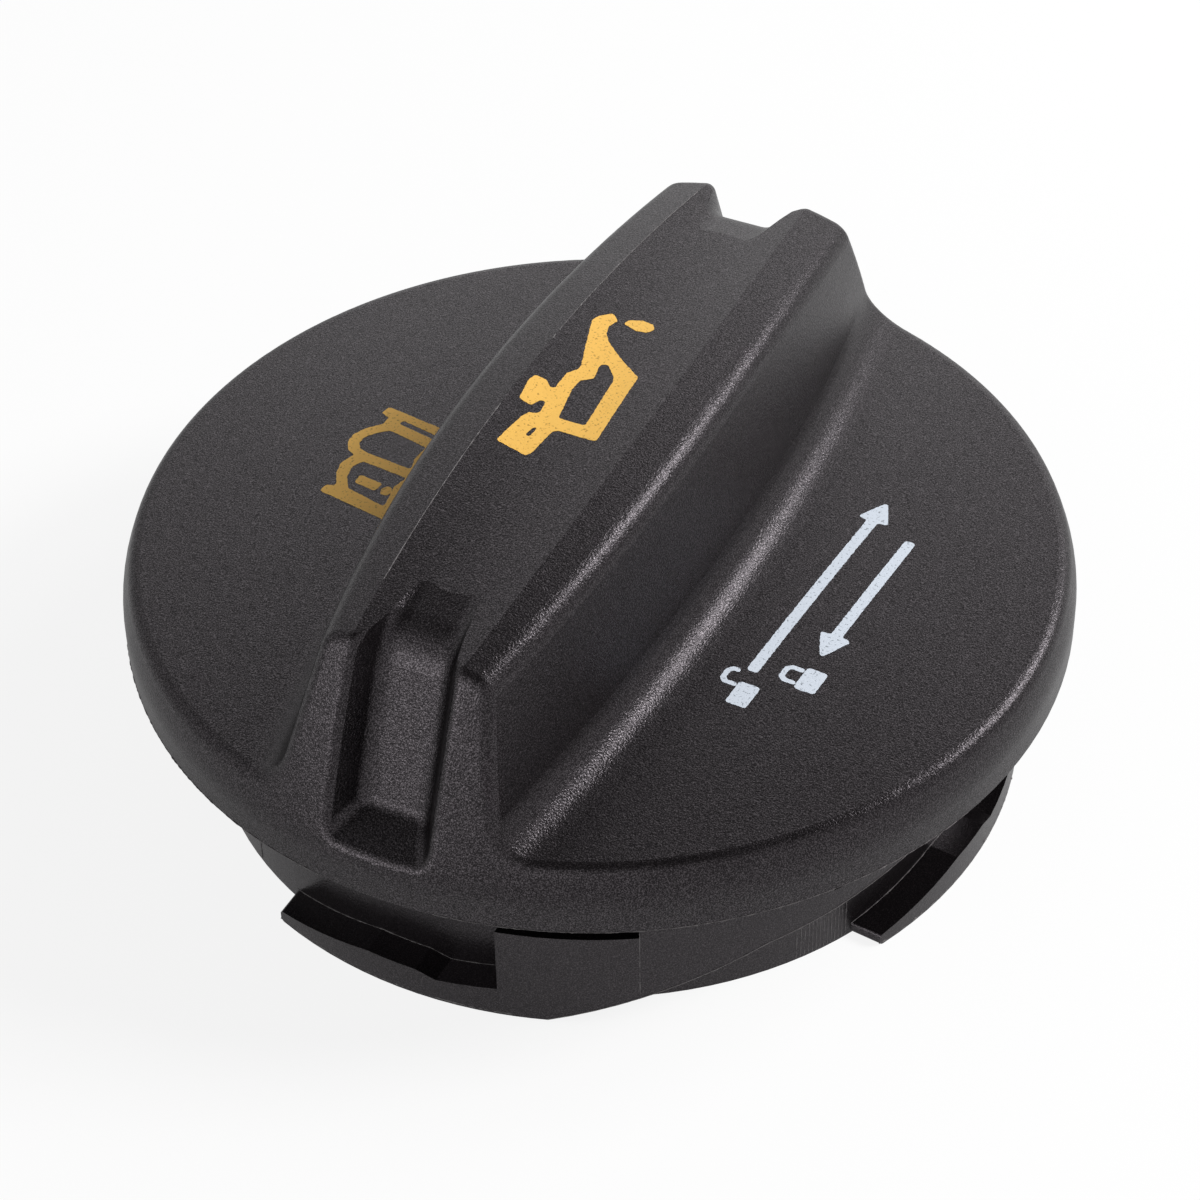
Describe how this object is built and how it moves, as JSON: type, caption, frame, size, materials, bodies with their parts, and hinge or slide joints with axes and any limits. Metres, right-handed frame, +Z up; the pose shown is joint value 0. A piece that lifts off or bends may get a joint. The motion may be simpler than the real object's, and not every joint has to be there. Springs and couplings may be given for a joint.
{
  "type": "oil filler cap",
  "caption": "Round black moulded oil filler cap with a raised grip bar across a domed disc, a bayonet plug with hooked claws below, and a rubber sealing ring under the rim.",
  "frame": {"origin": "on the cap's axis, at the level of the claws' feet that it stands on", "axes": "+Z up along the cap's axis towards the grip, Y along the grip bar"},
  "size_m": [0.072, 0.072, 0.0323],
  "materials": {
    "cap_body": "satin glass-filled nylon moulding with fine spark-eroded grain",
    "seal_ring": "plain black nitrile rubber"
  },
  "bodies": {
    "root": {"cap_body": "cap_body", "seal_ring": "seal_ring"}
  },
  "joints": []
}
